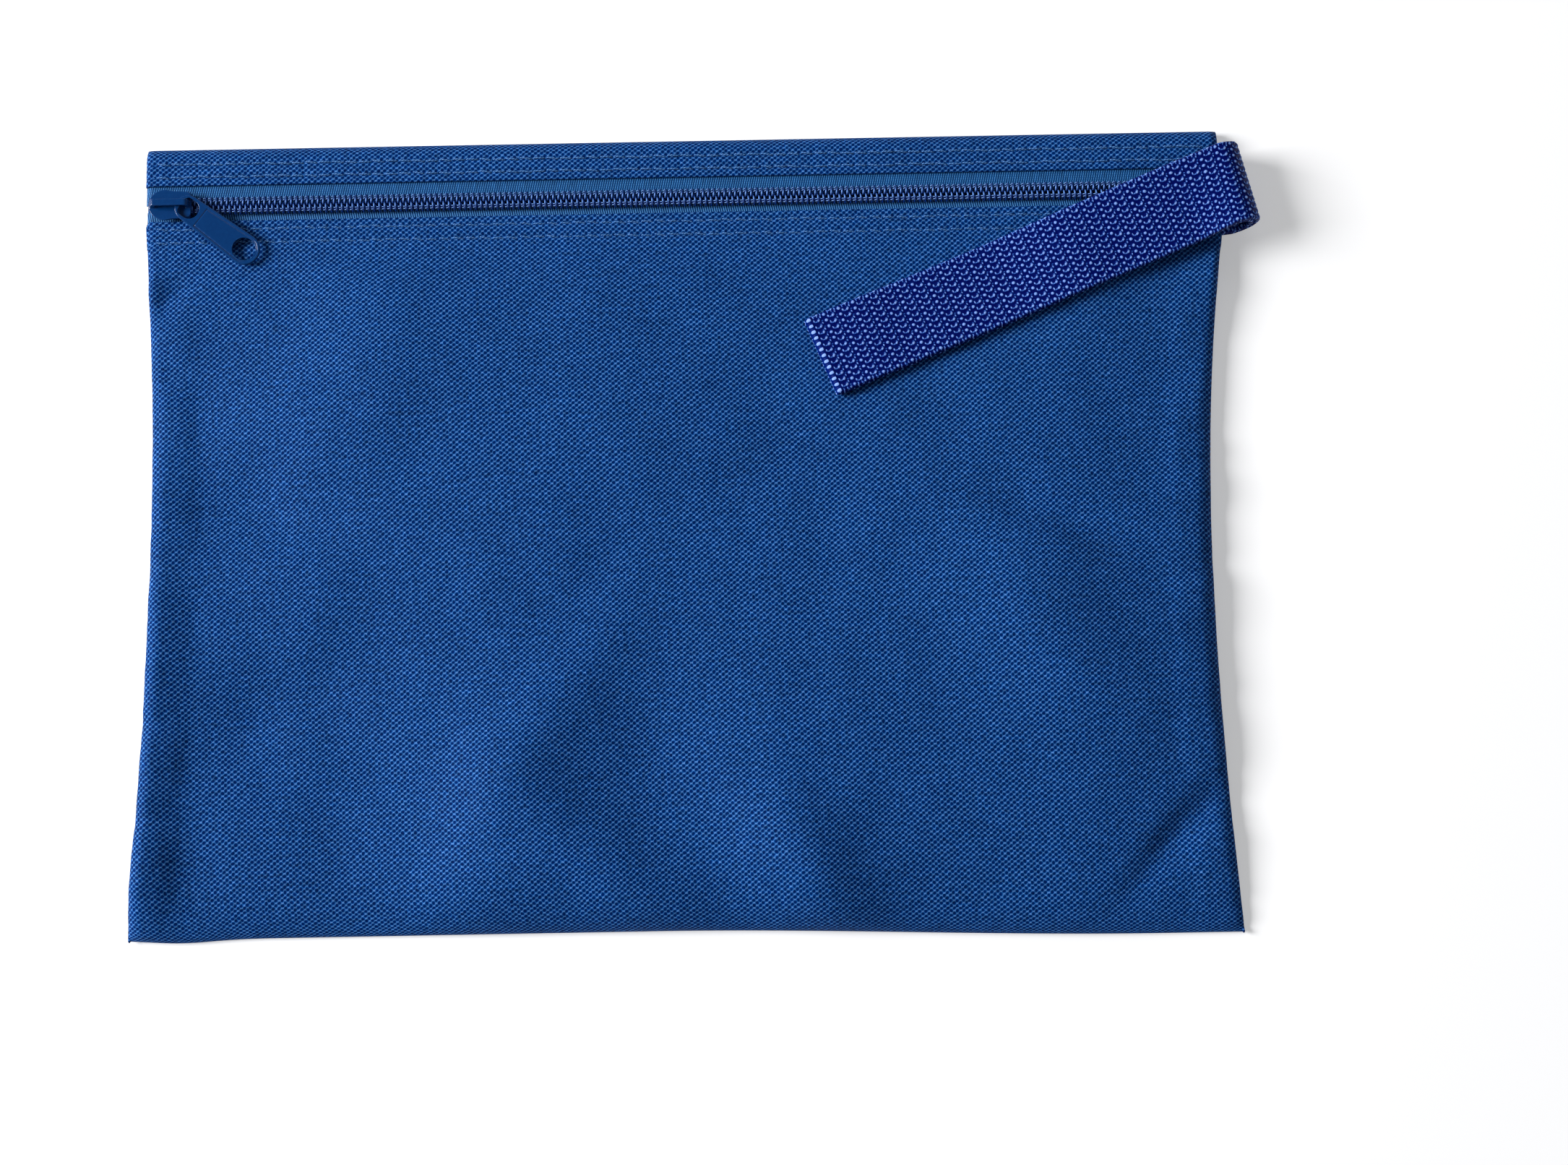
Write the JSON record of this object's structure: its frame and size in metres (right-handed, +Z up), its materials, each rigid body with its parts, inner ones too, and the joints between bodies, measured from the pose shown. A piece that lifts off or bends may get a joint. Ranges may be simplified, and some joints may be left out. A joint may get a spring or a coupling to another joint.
{
  "type": "cash deposit bag",
  "caption": "Flat zip pouch of blue woven cloth for carrying cash and deposits, with a coil zip along the top and a webbing wrist loop sewn into one side.",
  "frame": {"origin": "middle of the bounding box, on the surface that the bag lies on", "axes": "+X to the right along the zip, +Y from the bottom fold to the zip, +Z up from the resting back to the front"},
  "size_m": [0.341, 0.24, 0.0167],
  "materials": {
    "cloth": "woven, dull sheen",
    "seam_cloth": "woven, cut edge",
    "zip_tape": "fine ribbed satin",
    "coil": "glossy monofilament",
    "filler_cord": "twisted yarn",
    "enamel": "gloss enamel",
    "thread": "twisted thread",
    "webbing": "coarse woven, glossy yarn"
  },
  "bodies": {
    "pouch": {"front_panel": "cloth", "back_panel": "cloth", "left_seam_allowance": "seam_cloth", "right_seam_allowance": "seam_cloth", "left_seam_thread": "thread", "right_seam_thread": "thread", "lower_zipper_tape": "zip_tape", "lower_coil": "coil", "lower_coil_cord": "filler_cord", "lower_inner_topstitch": "thread", "lower_outer_topstitch": "thread", "strap_root": "webbing"},
    "flap": {"top_flap": "cloth", "upper_zipper_tape": "zip_tape", "upper_coil": "coil", "upper_coil_cord": "filler_cord", "upper_inner_topstitch": "thread", "upper_outer_topstitch": "thread"},
    "slider": {"slider_body": "enamel"},
    "pull": {"pull_tab": "enamel"},
    "strap": {"strap_bend": "webbing", "strap_upper_run": "webbing", "strap_lower_run": "webbing", "strap_end_turn": "webbing"}
  },
  "joints": [
    {"name": "slider_slide", "type": "slide", "parent": "pouch", "child": "slider", "axis": [1, 0, 0], "range_m": [0, 0.295], "deforming": ["upper_coil", "lower_coil", "upper_zipper_tape", "upper_coil_cord", "strap_bend"]},
    {"name": "mouth_open", "type": "hinge", "parent": "pouch", "child": "flap", "pos_m": [-0.00554, 0.12, 0.00115], "axis": [-1, 0, 0], "range_deg": [0, 75]},
    {"name": "pull_flip", "type": "hinge", "parent": "slider", "child": "pull", "pos_m": [-0.15732, 0.10092, 0.0105], "axis": [-0.6018, -0.7986, 0], "range_deg": [0, 110]},
    {"name": "strap_swing", "type": "hinge", "parent": "pouch", "child": "strap", "pos_m": [0.15999, 0.0995, 0.009], "axis": [-0.2445, 0.9697, 0], "range_deg": [0, 178], "deforming": ["strap_bend"]}
  ],
  "couplings": [
    {"joint": "mouth_open", "follows": "slider_slide", "rad_per_m": 4.4}
  ]
}
